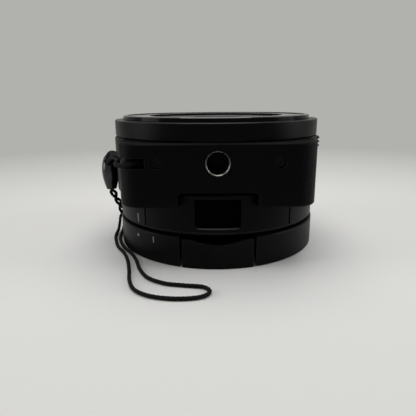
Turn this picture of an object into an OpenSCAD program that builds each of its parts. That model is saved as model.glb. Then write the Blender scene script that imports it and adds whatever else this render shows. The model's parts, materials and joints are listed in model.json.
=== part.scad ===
// Lens-shaped clip-on camera standing on its phone-clip attachment, lens up.
// Origin: centre of the round rubber pad under the attachment. +Z along the lens axis, -Y to the tripod side.

/* [Attachment] */
// Outer radius of the attachment ring
att_r = 30.35; // [30:0.05:30.5]
// Height of the attachment ring
att_h = 8.45; // [8.2:0.05:8.6]
// Half width of each folding clip
clip_half_w = 9.45; // [8.5:0.05:9.5]
// Gap between a clip and the ring
clip_gap = 0.7; // [0.35:0.05:0.7]
// Folded length of a clip, from its hinge inwards
clip_len = 17; // [14:0.5:17.5]

/* [Camera body] */
// Radius of the round housing
body_r = 30.9; // [30.8:0.05:31]
// Radius of the rear band
band_r = 30.05; // [29.9:0.05:30.2]
// Half width of the flat tripod foot
foot_half_w = 25.3; // [24.5:0.1:25.5]
// Corner radius of the tripod foot
foot_corner = 6; // [5.5:0.1:6.5]
// Wall thickness of the housing
wall = 2; // [1.8:0.1:2.2]
// Half angle of the battery cover on the band
cover_half_angle = 41.5; // [41.4:0.1:41.7]
// Half width of the notch over the battery cover
notch_half_w = 10.15; // [10:0.05:10.3]
// Height of the tripod thread above the resting face
tripod_z = 27.9; // [27.5:0.1:28]

/* [Front] */
// Radius of the front ring
front_r = 30.6; // [30.4:0.05:30.8]
// Radius of the raised lip inside the front ring
lip_r = 28.2; // [28:0.05:28.3]

/* [Lens] */
// Radius of the outer moving barrel
barrel_r = 20; // [19.9:0.05:20.1]
// Teeth on the zoom ring gear
ring_teeth = 55; // [55:1:55]
// Teeth on the zoom pinion
pinion_teeth = 8; // [8:1:8]

/* [Strap] */
// Diameter of the hook cord
hook_cord_d = 1.2; // [1.1:0.05:1.3]
// Diameter of the hand cord
hand_cord_d = 1; // [0.9:0.05:1.1]

/* [Hidden] */
$fn = 96;

// Fits: a running gap, a tight gap, a visible seam, the overlap of joined solids, the overrun of a cut
slip = 0.05;
fit = 0.02;
seam = 0.12;
join = 0.1;
spare = 1;
// Reach of a cut that leaves the object
outside = 40;

// Heights of the body
band_z0 = 9.2;
band_z1 = 16.8;
body_z1 = 32.9;
front_z0 = 33.1;
front_z1 = 37.6;
lip_z = 38.8;
face_z = 38.55;
cavity_top = 31.5;

// Housing outline and its bevelled rims
edge_cut = 0.4;
round_cut = 0.48;
rim_sink = 0.01;
mitre = 0.2;
mitre_angle = 0.4;
foot_y = -body_r;
corner_x = foot_half_w - foot_corner;
corner_y = foot_y + foot_corner;
foot_meet = asin(foot_half_w / body_r);
foot_join_y = -sqrt(body_r * body_r - foot_half_w * foot_half_w);
wall_in_x = 26;

// Notch and battery cover
notch_top = 20.5;
notch_corner = 0.6;
notch_bevel = 0.5;
cover_z0 = 10;
cover_gap_angle = 1.25;
tab_gap = 0.45;
tab_bevel = 0.5;
tab_half_angle = 30;
tab_in_r = 28.7;
tab_sink = 0.2;
pocket_half_w = 6;
pocket_corner = 0.5;
pocket_z0 = 11.1;
pocket_z1 = 18.7;
pocket_y = -28.2;
pocket_wall = 1;
pocket_back_y = -27.2;
pocket_box_inset = 0.4;
pocket_box_drop = 0.6;
lip_half_w = pocket_half_w - pocket_corner;
lip_bevel = 0.3;
lip_drop = 2;
lip_end = 0.15;

// Rear cover and bayonet
band_in_r = 28.4;
band_cut = 0.35;
band_floor = 0.6;
boss_r = 24.4;
boss_in_r = 22.8;
boss_z0 = 5.5;
boss_floor = 0.8;
bayonet_angles = [60, 180, 300];
tooth_half_angle = 5;
tooth_root = 0.5;
tooth_w = 1.9;
tooth_z0 = 5.6;
tooth_h = 0.9;
catch_half_angle = 7;
catch_in_r = 24.9;
catch_w = 1.6;
catch_z0 = 6.9;
catch_h = 1.3;

// Strap groove and post
groove_z0 = 26.75;
groove_z1 = 29.35;
groove_depth = 4.9;
groove_x = -17.9;
groove_y = -18.4;
post_r = 1.55;
post_reach = 4.0;
post_sink = 0.7;
post_x = -corner_x - post_reach * sin(45);
post_y = corner_y - post_reach * cos(45);
strap_block_x = -16.5;
strap_block_y = -16;
strap_block_gap = 0.6;

// Tripod socket and the screws beside it
socket_bore_r = 2.6;
socket_mouth_r = 3;
socket_neck_r = 3.06;
socket_mouth_cut = 0.06;
socket_mouth_depth = 0.5;
socket_neck_h = 0.85;
socket_r = 4.2;
socket_h = 5.4;
socket_floor = 0.5;
socket_gap = 0.04;
socket_room = 6;
socket_block_half = 6.6;
socket_block_drop = 5.6;
socket_block_y = -25.4;
screw_x = 15.25;
screw_z = 28.1;
screw_recess_r = 1.45;
screw_recess = 1.6;
screw_hole_r = 0.8;
screw_hole = 8;
screw_sink = 0.7;
screw_head_r = 1.3;
screw_head_h = 0.75;
screw_r = 0.7;
screw_len = 6.2;
cross_len = 1.6;
cross_w = 0.34;
cross_depth = 0.4;
screw_block_half = 2.4;
screw_block_y = -25.6;

// Side panel, zoom lever and buttons
panel_x = 21.8;
panel_y1 = 14;
panel_top = 23.5;
panel_t = 0.9;
lever_z0 = 28.7;
lever_z1 = 32.3;
lever_half = 4.2;
lever_travel = 1.5;
lever_floor_x = 29.9;
lever_x1 = 31.1;
lever_end_gap = 0.4;
lever_side_gap = 0.25;
bump_pitch = 1.15;
bump_row = 1.2;
bump_first_z = 0.6;
bump_r = 0.48;
bump_tip_r = 0.2;
bump_h = 0.65;
button_base = 27;
button_flange = 0.6;
button_flange_t = 0.8;
button_cut = 0.35;
button_dish = 0.12;
shutter_angle = 22;
shutter_z = 27.2;
shutter_r = 3.2;
shutter_tip = 31.5;
dish_x = 30.5;
dish_spread = 2.2;
dish_h = 1.2;
power_angle = 90;
power_z = 25;
power_r = 2.2;
power_tip = 31.3;
switch_h = 0.9;
switch_top = 1.4;

// Lamp, microphones, display and data socket
lamp_angle = 105;
lamp_r = 0.8;
lamp_x0 = 27.6;
lamp_len = 3.2;
mic_angle = 74;
mic_spread = 5;
mic_hole_r = 0.5;
mic_r = 1.1;
mic_x0 = 26.4;
mic_len = 2;
display_angle = 145;
display_half = 7;
display_z0 = 20;
display_z1 = 29;
display_x0 = 27.2;
display_t = 1.2;
display_side = 0.8;
display_margin = 0.6;
window_t = 0.95;
usb_angle = 8;
usb_z = 20.2;
usb_half_w = 3.7;
usb_half_h = 1.25;
usb_room_half_w = 4;
usb_room_half_h = 1.6;
usb_mouth_half_w = 3.4;
usb_mouth_half_h = 0.9;
usb_x0 = 25.2;
usb_x1 = 30.2;
usb_back = 0.6;

// Front ring and lens face
ring_in_r = 25.6;
neck_r = 29.7;
ring_seat_z = 34.6;
ring_foot_cut = 0.15;
ring_top_cut = 0.2;
face_r = 27.1;
face_z0 = 36.9;
skirt_r = 27.2;
lip_in_cut = 0.15;
lip_out_cut = 0.2;
face_gap = 0.35;
seal_r = 21.6;
seal_z0 = 36;

// Fixed barrel, zoom drive and moving barrels
tube_z0 = 18;
tube_z1 = 34.4;
tube_r = 24.6;
tube_in_r = 23.4;
tube_floor = 0.8;
tube_gap = 0.3;
base_hole_r = 9;
gear_module = 0.8;
ring_pitch_r = ring_teeth * gear_module / 2;
pinion_pitch_r = pinion_teeth * gear_module / 2;
gear_distance = ring_pitch_r + pinion_pitch_r;
pinion_angle = 45;
gear_z0 = 19;
gear_t = 2.2;
cam_r = 21.2;
cam_h = 14.5;
cam_gap = 0.4;
motor_r = 3.3;
motor_z0 = 21.6;
motor_h = 9;
motor_room_r = 4.4;
motor_room_h = 13;
shaft_r = 0.6;
shaft_len = 3;
barrel_wall = 1;
barrel_step = 1.3;
barrel_cut = 0.3;
outer_z0 = 19.2;
outer_z1 = 38;
inner_z0 = 19.4;
inner_z1 = 37.9;

// Blade chamber and lens seat in the inner barrel
mouth_r = 8.6;
mouth_in_r = 7;
chamber_z1 = 37.15;
chamber_z0 = 36.5;
chamber_floor_z = 35.9;
chamber_hole_r = 7.4;
seat_z0 = 30.3;
seat_z1 = 31.2;
seat_in_r = 10.4;
cell_r = 12.6;
cell_in_r = 11.7;
cell_z1 = 33.4;
blade_pivot = 11;
blade_z = 36.6;
blade_t = 0.45;
blade_r = 8;
blade_gap = 0.04;
blade_eye_r = 1.3;
blade_hole_r = 0.62;
blade_arm_x = 5.5;
blade_arm_w = 1.24;
pivot_r = 0.55;
pivot_z0 = 36.4;
pivot_h = 0.9;

// Lens groups, focus carriage and sensor
lens_flat_z = 31.25;
cell_bottom_z = 26.5;
cell_top_z = 29;
group_r = 9;
iris_r = 3.2;
iris_z0 = 25.2;
iris_z1 = 26.45;
carriage_z0 = 20.4;
carriage_z1 = 22;
carriage_r = 7.6;
carriage_in_r = 6.35;
arm_x0 = 7.4;
arm_x1 = 12.4;
arm_half = 1.2;
guide_x = 11;
guide_r = 0.5;
guide_len = 6.9;
plate_z0 = 16.4;
sensor_z0 = 17.05;
sensor_z1 = 18.05;
filter_z1 = 18.4;
plate_hole_x = 8;
plate_hole_y = 6.9;
plate_hole_r = 0.5;

// Chassis, boards and card
chassis_z0 = 17.1;
chassis_t = 0.8;
chassis_r = 28.3;
chassis_y0 = -24.8;
chassis_hole_x = 26;
chassis_hole_r = 1.1;
board_z0 = 7.2;
board_t = 0.8;
board_r = 22.4;
leg_x = 21.2;
leg_r = 0.9;
leg_h = 1;
shield_z1 = 9.5;
antenna_r = 20;
antenna_in_r = 12;
antenna_t = 0.25;
card_half = 5.5;
card_y0 = -25.2;
card_y1 = -10.4;
card_z0 = 16;
card_t = 0.7;
card_gap = 0.2;
card_lift = 0.15;
slot_half = 7.2;
slot_y0 = -24.6;
slot_y1 = -9.6;
slot_z0 = 15.75;

// Battery in its drawer
tray_half = 18.3;
tray_y0 = -26.6;
tray_side_y0 = -26;
tray_y1 = 15.3;
tray_z0 = 9.9;
tray_floor = 0.4;
tray_wall = 0.5;
tray_h = 5.6;
battery_half = 17.6;
battery_y1 = 15;
battery_len = 36.8;
battery_t = 5;
battery_round = 1;
contact_half = 6;
contact_y0 = 15.7;
contact_y1 = 18.4;
contact_z1 = 14.8;
contact_pitch = 4;
contact_pin_half = 0.8;
contact_pin_y0 = 15.2;
contact_pin_z0 = 11.5;
contact_pin_z1 = 13.5;

// Attachment: ring, disc, pads and rails
att_in_r = 28.85;
att_foot_cut = 0.35;
att_top_cut = 0.3;
disc_z0 = 3.95;
disc_z1 = 5.2;
collar_r = 27.6;
collar_in_r = 26.3;
collar_z1 = 8.2;
pad_t = 0.7;
pad_edge = 0.4;
seat_r = 7;
seat_h = 3.4;
seat_x0 = 18;
seat_x1 = 25;
seat_half = 9;
sheet_z0 = 3.2;
sheet_z1 = 3.8;
sheet_half = 13.5;
sheet_y0 = 7.3;
sheet_y1 = 23.2;
sheet_room = 0.3;
tongue_y = 23;
rail_y0 = 6;
rail_y1 = 24;
rail_z0 = 2.5;
rail_x0 = 12.8;
rail_x1 = 14.8;
rail_gap = 0.15;

// Folding clips and their hinges
hinge_y = 27.6;
hinge_z = 5.2;
hinge_pin_r = 0.7;
hinge_pin_half = 9.2;
lug_half = 4.3;
lug_r = 1.2;
lug_root_y = -23.4;
clip_room_y = -23.6;
clip_z0 = 0.1;
clip_h = 7.75;
clip_in_r = 29.25;
clip_scoop_r = 19.3;
clip_scoop_z = 6.6;
clip_plate_z0 = 0.3;
clip_plate_z1 = 2.2;
cheek_x = 5.3;
cheek_y = -26.2;
cheek_r = 1.4;
clip_pad_half = 8;
clip_pad_y0 = -25.8;
clip_pad_edge = 0.8;
clip_pad_t = 0.7;

// Strap bead
bead_x = -33.95;
bead_z0 = 15.5;
bead_mid_z = 21.2;
bead_z1 = 26.6;
bead_widest = 2.65;
bead_end_r = 1.6;
bead_top_r = 0.6;
bead_foot_r = 1.2;
bead_foot_depth = 2;
bead_eye_z = 24.6;
bead_eye_r = 1.3;
bead_eye_y = 0.8;
bead_eye_len = 5;

// Route of the hook cord: out of the bead, round the post in the groove and back
hook_route = [
    [-33.95, 0.3, 25.22], [-33.95, -1.2, 25.22], [-33.95, -2.6, 25.26], [-33.6, -4.4, 26],
    [-32.6, -6.8, 27.25], [-31.2, -9.6, 28.2], [-29.2, -13.4, 28.68], [-27, -18.2, 28.68],
    [-25, -22.2, 28.68], [-22.6, -24.8, 28.68], [-20.5, -26.1, 28.6], [-19.9, -27.7, 28.34],
    [-20.5, -29.3, 28.08], [-22.1, -30, 27.75], [-23.8, -29.4, 27.48], [-25.6, -27.4, 27.4],
    [-26.2, -24.4, 27.4], [-26.6, -20.6, 27.4], [-27.9, -16.6, 27.4], [-29.8, -12.4, 27.4],
    [-31.4, -8.9, 26.6], [-32.7, -6.4, 25.4], [-33.6, -4.3, 24.46], [-33.95, -2.6, 24],
    [-33.95, -1.2, 23.98], [-33.95, 0.3, 23.98]
];

// Route of the hand cord: out of the bead, down the side, along the floor and back
hand_route = [
    [-33.95, 0.6, 17.2], [-33.95, 0.6, 15.5], [-34.36, 0.4, 14], [-33.2, 0.54, 12.4], [-31.98, 2.4, 10.8],
    [-32.3, 4.12, 9.2], [-32.76, 4.2, 7.6], [-32.1, 4.14, 6], [-31.54, 4.9, 4.4], [-31.5, 3.8, 2.4],
    [-31.4, 1.2, 0.9], [-31.3, -2.7, 0.55], [-30.3, -8.1, 0.55], [-27.7, -14.7, 0.55], [-24.7, -19.6, 0.55],
    [-22.4, -24.8, 0.55], [-20.4, -30.8, 0.55], [-17.6, -36, 0.55], [-13.2, -39.2, 0.55], [-8.4, -40.4, 0.55],
    [-3.8, -41.3, 0.55], [-2.2, -43.6, 0.55], [-3.6, -45.9, 0.55], [-7, -46.9, 0.55], [-11.6, -46.8, 0.55],
    [-16.2, -45.4, 0.55], [-19.8, -42.4, 0.55], [-21.8, -37.6, 0.55], [-23, -31.8, 0.55], [-24.6, -25.4, 0.55],
    [-26.8, -19.4, 0.55], [-29.8, -13.9, 0.55], [-32.1, -6.8, 0.55], [-32.9, -2.4, 0.55], [-33, 1.6, 1],
    [-33, 4, 2.6], [-32.86, 4.9, 4.4], [-32.1, 5.46, 6], [-31.44, 4.2, 7.6], [-32.3, 2.68, 9.2],
    [-33.42, 2.4, 10.8], [-33.2, 2.06, 12.4], [-32.84, 0.4, 14], [-33.95, -0.6, 15.5], [-33.95, -0.6, 17.2]
];

black = [0.05, 0.05, 0.06];
satin = [0.09, 0.09, 0.10];
rubber = [0.13, 0.13, 0.14];
steel = [0.72, 0.72, 0.74];
brass = [0.78, 0.70, 0.45];
board_green = [0.10, 0.32, 0.20];
glass = [0.45, 0.50, 0.60];

// Outline of the housing, drawn in by a given amount on every side
module housing_outline(inset = 0) {
    circle(r = body_r - inset);
    translate([-foot_half_w + inset, corner_y])
        square([2 * (foot_half_w - inset), -corner_y]);
    translate([-corner_x, foot_y + inset])
        square([2 * corner_x, -foot_y - inset]);
    for (side = [-1, 1])
        translate([side * corner_x, corner_y])
            circle(r = foot_corner - inset);
}

// A slab of the housing outline between two heights
module housing_slab(z0, z1, inset = 0) {
    translate([0, 0, z0])
        linear_extrude(height = z1 - z0)
            housing_outline(inset);
}

// A box between two corners
module block(low, high) {
    translate(low)
        cube(high - low);
}

// A box centred on the lens axis, between two heights
module centred_box(half_x, half_y, z0, z1) {
    block([-half_x, -half_y, z0], [half_x, half_y, z1]);
}

// A tube between two heights
module tube(outer, inner, z0, z1) {
    translate([0, 0, z0])
        difference() {
            cylinder(r = outer, h = z1 - z0);
            translate([0, 0, -spare])
                cylinder(r = inner, h = z1 - z0 + 2 * spare);
        }
}

// A turned ring from its half section
module turned(points) {
    rotate_extrude()
        polygon(points);
}

// Places children at an angle from +X, with their own +Z pointing outwards
module outward(angle, z) {
    rotate([0, 0, angle])
        translate([0, 0, z])
            rotate([0, 90, 0])
                children();
}

// Triangle that bevels an edge at a given distance, with dir 1 for a lower rim and -1 for an upper one
module bevel_section(reach, dir, cut = edge_cut) {
    polygon([
        [reach - cut, -dir * rim_sink],
        [reach + spare, -dir * rim_sink],
        [reach + spare, dir * (cut + spare)]
    ]);
}

// Bevels one rim of the housing all the way round
module rim_bevel(z, dir) {
    translate([0, 0, z]) {
        rotate([0, 0, -90 + foot_meet - mitre_angle])
            rotate_extrude(angle = 360 - 2 * (foot_meet - mitre_angle))
                bevel_section(body_r, dir, round_cut);
        translate([corner_x, 0, 0])
            rotate([0, 0, -90])
                rotate([90, 0, 0])
                    linear_extrude(height = 2 * corner_x)
                        bevel_section(body_r, dir);
        for (side = [0, 1])
            mirror([side, 0, 0]) {
                translate([corner_x, corner_y, 0])
                    rotate([0, 0, -90])
                        rotate_extrude(angle = 90)
                            bevel_section(foot_corner, dir);
                translate([0, foot_join_y + mitre, 0])
                    rotate([90, 0, 0])
                        linear_extrude(height = foot_join_y + mitre - corner_y)
                            bevel_section(foot_half_w, dir);
            }
    }
}

// Solid inside the left foot corner that carries the strap post
module strap_corner() {
    difference() {
        intersection() {
            housing_slab(groove_z0 - 2 * post_sink, groove_z1 + 2 * post_sink, wall - join);
            block([-outside, -outside, 0], [strap_block_x, strap_block_y, outside]);
        }
        cylinder(r = tube_r + strap_block_gap, h = outside);
    }
}

// Groove round the left foot corner, open to the front and to the side
module strap_groove() {
    intersection() {
        difference() {
            housing_slab(groove_z0, groove_z1, -spare);
            housing_slab(groove_z0 - spare, groove_z1 + spare, groove_depth);
        }
        block([-outside, -outside, 0], [groove_x, groove_y, outside]);
    }
}

// Notch over the battery cover with its two corners cut off, or the smaller outline of the tab in it
module notch_prism(y0, y1, gap = 0) {
    half = notch_half_w - gap;
    top = notch_top - gap;
    translate([0, y1, 0])
        rotate([90, 0, 0])
            linear_extrude(height = y1 - y0)
                polygon([
                    [-half, band_z1 - spare], [half, band_z1 - spare], [half, top - notch_corner],
                    [half - notch_corner, top], [notch_corner - half, top], [-half, top - notch_corner]
                ]);
}

// Round housing with the flat tripod foot, open at the back
module main_housing() {
    color(black)
    difference() {
        union() {
            difference() {
                housing_slab(band_z1, body_z1);
                housing_slab(band_z1 - spare, cavity_top, wall);
            }
            block([-socket_block_half, foot_y + wall / 2, tripod_z - socket_block_drop],
                  [socket_block_half, socket_block_y, cavity_top + join]);
            for (side = [-1, 1])
                translate([side * screw_x, 0, 0])
                    block([-screw_block_half, foot_y + wall / 2, screw_z - screw_block_half],
                          [screw_block_half, screw_block_y, cavity_top + join]);
            strap_corner();
        }
        rim_bevel(band_z1, 1);
        rim_bevel(body_z1, -1);
        translate([0, 0, cavity_top - spare])
            cylinder(r = tube_r + tube_gap, h = outside);
        notch_prism(foot_y - spare, foot_y + wall + spare);
        translate([0, foot_y, notch_top])
            rotate([45, 0, 0])
                cube([2 * (notch_half_w - notch_corner - mitre), notch_bevel, notch_bevel], center = true);
        translate([0, foot_y - spare, tripod_z])
            rotate([-90, 0, 0])
                cylinder(r = socket_neck_r + socket_gap, h = spare + wall);
        translate([0, foot_y + socket_neck_h - slip, tripod_z])
            rotate([-90, 0, 0])
                cylinder(r = socket_r + socket_gap, h = socket_room);
        for (side = [-1, 1])
            translate([side * screw_x, foot_y - spare, screw_z])
                rotate([-90, 0, 0]) {
                    cylinder(r = screw_recess_r, h = spare + screw_recess);
                    cylinder(r = screw_hole_r, h = spare + screw_hole);
                }
        strap_groove();
        translate([post_x, post_y, groove_z0 - post_sink - join])
            cylinder(r = post_r + fit, h = groove_z1 - groove_z0 + 2 * (post_sink + join));
        intersection() {
            difference() {
                housing_slab(band_z1 - spare, panel_top, -spare);
                housing_slab(band_z1 - 2 * spare, panel_top + spare, panel_t);
            }
            block([panel_x, -outside, 0], [outside, panel_y1, outside]);
        }
        block([lever_floor_x, -lever_half - lever_travel - lever_end_gap, lever_z0 - lever_side_gap],
              [outside, lever_half + lever_travel + lever_end_gap, lever_z1 + lever_side_gap]);
        outward(shutter_angle, shutter_z) {
            cylinder(r = shutter_r + seam, h = outside);
            translate([0, 0, dish_x])
                cylinder(r1 = shutter_r + join, r2 = shutter_r + dish_spread, h = dish_h);
        }
        outward(power_angle, power_z)
            cylinder(r = power_r + seam, h = outside);
        outward(lamp_angle, power_z)
            cylinder(r = lamp_r + fit, h = outside);
        for (side = [-1, 1])
            outward(mic_angle + side * mic_spread, power_z)
                cylinder(r = mic_hole_r, h = outside);
        rotate([0, 0, display_angle])
            block([wall_in_x, -display_half, display_z0], [outside, display_half, display_z1]);
        rotate([0, 0, usb_angle])
            block([wall_in_x, -usb_room_half_w, usb_z - usb_room_half_h],
                  [outside, usb_room_half_w, usb_z + usb_room_half_h]);
    }
}

// Trim over the control side, with the mouth of the data socket in it
module side_panel() {
    color(satin)
    difference() {
        intersection() {
            difference() {
                housing_slab(band_z1, panel_top - seam);
                housing_slab(band_z1 - spare, panel_top + spare, panel_t - fit);
            }
            block([panel_x + seam, -outside, 0], [outside, panel_y1 - seam, outside]);
        }
        rim_bevel(band_z1, 1);
        rotate([0, 0, usb_angle])
            block([wall_in_x, -usb_half_w - slip, usb_z - usb_half_h - slip],
                  [outside, usb_half_w + slip, usb_z + usb_half_h + slip]);
    }
}

// Turned ring round the lens, with a narrow dark neck under it
module front_ring() {
    color(black)
    turned([
        [ring_in_r, body_z1], [neck_r, body_z1], [neck_r, front_z0], [front_r - ring_foot_cut, front_z0],
        [front_r, front_z0 + ring_foot_cut], [front_r, front_z1 - ring_top_cut],
        [front_r - ring_top_cut, front_z1], [lip_r + slip, front_z1], [lip_r + slip, ring_seat_z],
        [ring_in_r, ring_seat_z]
    ]);
}

// Glossy face round the barrels, with a raised lip
module lens_bezel() {
    color([0.02, 0.02, 0.03])
    turned([
        [barrel_r + face_gap, face_z], [face_r, face_z], [face_r, lip_z - lip_in_cut],
        [face_r + lip_in_cut, lip_z], [lip_r - lip_out_cut, lip_z], [lip_r, lip_z - lip_out_cut],
        [lip_r, ring_seat_z], [skirt_r, ring_seat_z], [skirt_r, face_z0], [barrel_r + face_gap, face_z0]
    ]);
}

// Felt ring that keeps light and dust out round the outer barrel
module light_seal() {
    color(rubber)
    tube(seal_r, barrel_r + seam, seal_z0, face_z0);
}

// Rear cover: band, rim and the boss with three bayonet tabs
module rear_cover() {
    color(satin)
    difference() {
        union() {
            turned([
                [boss_in_r, boss_z0], [boss_r, boss_z0], [boss_r, band_z0], [band_r - band_cut, band_z0],
                [band_r, band_z0 + band_cut], [band_r, band_z1], [band_in_r, band_z1],
                [band_in_r, band_z0 + band_floor], [boss_in_r, band_z0 + band_floor]
            ]);
            translate([0, 0, boss_z0])
                cylinder(r = boss_r - tooth_root, h = boss_floor);
            for (a = bayonet_angles)
                rotate([0, 0, a - tooth_half_angle])
                    translate([0, 0, tooth_z0])
                        rotate_extrude(angle = 2 * tooth_half_angle)
                            translate([boss_r - tooth_root, 0])
                                square([tooth_w, tooth_h]);
        }
        rotate([0, 0, -90 - cover_half_angle])
            translate([0, 0, cover_z0 - join])
                rotate_extrude(angle = 2 * cover_half_angle)
                    square([outside, outside]);
    }
}

// Steel plate between the battery and the lens
module chassis() {
    color(steel)
    difference() {
        intersection() {
            translate([0, 0, chassis_z0])
                cylinder(r = chassis_r, h = chassis_t);
            block([-outside, chassis_y0, 0], [outside, outside, outside]);
        }
        centred_box(half_x = 7, half_y = 6, z0 = 0, z1 = outside);
        for (a = [45:90:315])
            rotate([0, 0, a])
                translate([chassis_hole_x, 0, 0])
                    cylinder(r = chassis_hole_r, h = outside);
    }
}

// Threaded brass insert for a tripod screw, with a bevelled mouth
module tripod_socket() {
    color(brass)
    translate([0, foot_y, tripod_z])
        rotate([-90, 0, 0])
            turned([
                [socket_mouth_r, 0], [socket_neck_r, socket_mouth_cut], [socket_neck_r, socket_neck_h],
                [socket_r, socket_neck_h], [socket_r, socket_h], [0, socket_h], [0, socket_h - socket_floor],
                [socket_bore_r, socket_h - socket_floor], [socket_bore_r, socket_mouth_depth]
            ]);
}

// Post that the strap loops round
module strap_post() {
    color(satin)
    translate([post_x, post_y, groove_z0 - post_sink])
        cylinder(r = post_r, h = groove_z1 - groove_z0 + 2 * post_sink);
}

// Two cross-head screws sunk in the tripod foot
module housing_screws() {
    color(satin)
    for (side = [-1, 1])
        translate([side * screw_x, foot_y + screw_sink, screw_z])
            rotate([-90, 0, 0])
                difference() {
                    union() {
                        cylinder(r = screw_head_r, h = screw_head_h);
                        cylinder(r = screw_r, h = screw_len);
                    }
                    for (turn = [0, 90])
                        rotate([0, 0, turn])
                            block([-cross_len / 2, -cross_w / 2, -spare],
                                  [cross_len / 2, cross_w / 2, cross_depth]);
                }
}

// Zoom lever: a plate in its recess with rows of grip bumps
module zoom_lever() {
    color(black)
    union() {
        block([lever_floor_x + slip, -lever_half, lever_z0], [lever_x1, lever_half, lever_z1]);
        for (row = [0:2])
            for (col = [-3:3])
                translate([lever_x1 - slip, col * bump_pitch, lever_z0 + bump_first_z + row * bump_row])
                    rotate([0, 90, 0])
                        cylinder(r1 = bump_r, r2 = bump_tip_r, h = bump_h, $fn = 16);
    }
}

// Push button: a cap that stands proud of the wall and a flange behind the wall
module push_button(radius, tip) {
    flange_r = radius + button_flange;
    flange_top = button_base + button_flange_t;
    turned([
        [0, button_base], [flange_r, button_base], [flange_r, flange_top], [radius, flange_top],
        [radius, tip - button_cut], [radius - button_cut, tip], [0, tip - button_dish]
    ]);
}

// Tact switch on the fixed barrel, with its nub outwards
module tact_switch(half, nub_r) {
    translate([0, 0, tube_r + join]) {
        translate([-half, -half, 0])
            cube([2 * half, 2 * half, switch_h]);
        cylinder(r = nub_r, h = switch_top);
    }
}

// Shutter button on the control side
module shutter_button() {
    color(satin)
    outward(shutter_angle, shutter_z)
        push_button(shutter_r, shutter_tip);
}

// Tact switch under the shutter button
module shutter_switch() {
    color(steel)
    outward(shutter_angle, shutter_z)
        tact_switch(half = 2, nub_r = 1.1);
}

// Power button opposite the tripod foot
module power_button() {
    color(satin)
    outward(power_angle, power_z)
        push_button(power_r, power_tip);
}

// Tact switch under the power button
module power_switch() {
    color(steel)
    outward(power_angle, power_z)
        tact_switch(half = 1.8, nub_r = 0.9);
}

// Light pipe of the status lamp
module status_lamp() {
    color([0.8, 0.85, 0.9])
    outward(lamp_angle, power_z)
        translate([0, 0, lamp_x0])
            cylinder(r = lamp_r, h = lamp_len);
}

// Two microphone capsules behind their sound holes
module microphones() {
    color(steel)
    for (side = [-1, 1])
        outward(mic_angle + side * mic_spread, power_z)
            translate([0, 0, mic_x0])
                cylinder(r = mic_r, h = mic_len);
}

// Clear window over the status display, rounded with the housing
module display_window() {
    color([0.03, 0.03, 0.04])
    intersection() {
        tube(body_r - slip, body_r - slip - window_t, display_z0 + slip, display_z1 - slip);
        rotate([0, 0, display_angle])
            block([wall_in_x, -display_half + slip, 0], [outside, display_half - slip, outside]);
    }
}

// Display panel behind its window
module display_module() {
    color([0.2, 0.22, 0.2])
    rotate([0, 0, display_angle])
        block([display_x0, display_side - display_half, display_z0 + display_margin],
              [display_x0 + display_t, display_half - display_side, display_z1 - display_margin]);
}

// Data socket behind the side panel
module usb_socket() {
    color(steel)
    rotate([0, 0, usb_angle])
        difference() {
            block([usb_x0, -usb_half_w, usb_z - usb_half_h], [usb_x1, usb_half_w, usb_z + usb_half_h]);
            block([usb_x0 + usb_back, -usb_mouth_half_w, usb_z - usb_mouth_half_h],
                  [outside, usb_mouth_half_w, usb_z + usb_mouth_half_h]);
        }
}

// Fixed barrel with its floor, cut away for the zoom motor
module lens_base() {
    color(satin)
    difference() {
        turned([
            [base_hole_r, tube_z0], [tube_r, tube_z0], [tube_r, tube_z1], [tube_in_r, tube_z1],
            [tube_in_r, tube_z0 + tube_floor], [base_hole_r, tube_z0 + tube_floor]
        ]);
        rotate([0, 0, pinion_angle])
            translate([gear_distance, 0, tube_z0 + tube_floor])
                cylinder(r = motor_room_r, h = motor_room_h);
        for (side = [-1, 1])
            translate([side * guide_x, 0, tube_z0 - spare])
                cylinder(r = guide_r + fit, h = tube_floor + 2 * spare);
    }
}

// Outline of a gear with straight-sided teeth
module gear_outline(teeth, pitch_r, tip, root, tip_share, root_share) {
    step = 360 / teeth;
    polygon([
        for (i = [0:teeth - 1])
            for (corner = [[-root_share, root], [-tip_share, tip], [tip_share, tip], [root_share, root]])
                let (a = step * (i + corner[0] / 2))
                    [(pitch_r + corner[1]) * cos(a), (pitch_r + corner[1]) * sin(a)]
    ]);
}

// Cam ring with the zoom gear at its foot
module zoom_ring_gear() {
    color([0.15, 0.15, 0.16])
    difference() {
        translate([0, 0, gear_z0]) {
            linear_extrude(height = gear_t)
                rotate([0, 0, pinion_angle])
                    gear_outline(ring_teeth, ring_pitch_r, tip = 0.55, root = -0.75,
                                 tip_share = 0.22, root_share = 0.5);
            cylinder(r = cam_r, h = cam_h);
        }
        translate([0, 0, gear_z0 - spare])
            cylinder(r = barrel_r + cam_gap, h = cam_h + 2 * spare);
    }
}

// Pinion on the motor shaft
module zoom_pinion() {
    color(brass)
    rotate([0, 0, pinion_angle])
        translate([gear_distance, 0, gear_z0])
            difference() {
                linear_extrude(height = gear_t)
                    rotate([0, 0, 180 + 180 / pinion_teeth])
                        gear_outline(pinion_teeth, pinion_pitch_r, tip = 0.35, root = -0.9,
                                     tip_share = 0.2, root_share = 0.42);
                translate([0, 0, -spare])
                    cylinder(r = shaft_r + slip, h = gear_t + 2 * spare);
            }
}

// Zoom motor with its shaft
module zoom_motor() {
    color(steel)
    rotate([0, 0, pinion_angle])
        translate([gear_distance, 0, 0]) {
            translate([0, 0, motor_z0])
                cylinder(r = motor_r, h = motor_h);
            translate([0, 0, gear_z0 - join])
                cylinder(r = shaft_r, h = shaft_len);
        }
}

// Outer moving barrel
module outer_barrel() {
    in_r = barrel_r - barrel_wall;
    color(black)
    turned([
        [in_r, outer_z0], [barrel_r, outer_z0], [barrel_r, outer_z1 - barrel_cut],
        [barrel_r - barrel_cut, outer_z1], [in_r, outer_z1]
    ]);
}

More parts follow.
